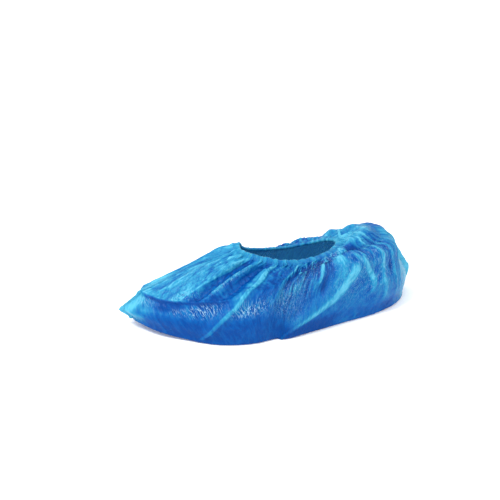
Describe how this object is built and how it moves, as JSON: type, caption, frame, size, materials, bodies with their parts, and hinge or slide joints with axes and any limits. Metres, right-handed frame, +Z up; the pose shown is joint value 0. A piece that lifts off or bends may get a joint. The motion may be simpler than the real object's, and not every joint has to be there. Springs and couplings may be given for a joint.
{
  "type": "disposable shoe cover",
  "caption": "Gathered plastic film shoe cover, worn over a low shoe: a hollow film bag with an elasticated foot opening and welded toe and heel ends.",
  "frame": {"origin": "middle of the cover's plan box, on the floor it rests on", "axes": "+Z up out of the foot opening, -Y towards the toe, +X towards the outer side of a left foot"},
  "size_m": [0.1182, 0.3178, 0.0812],
  "materials": {
    "blue_film": "soft-sheen blue polyethylene film",
    "natural_rubber": "matt natural rubber thread"
  },
  "bodies": {
    "root": {"film_bag": "blue_film", "hem_casing": "blue_film", "elastic_cord": "natural_rubber", "toe_weld": "blue_film", "heel_weld": "blue_film"}
  },
  "joints": []
}
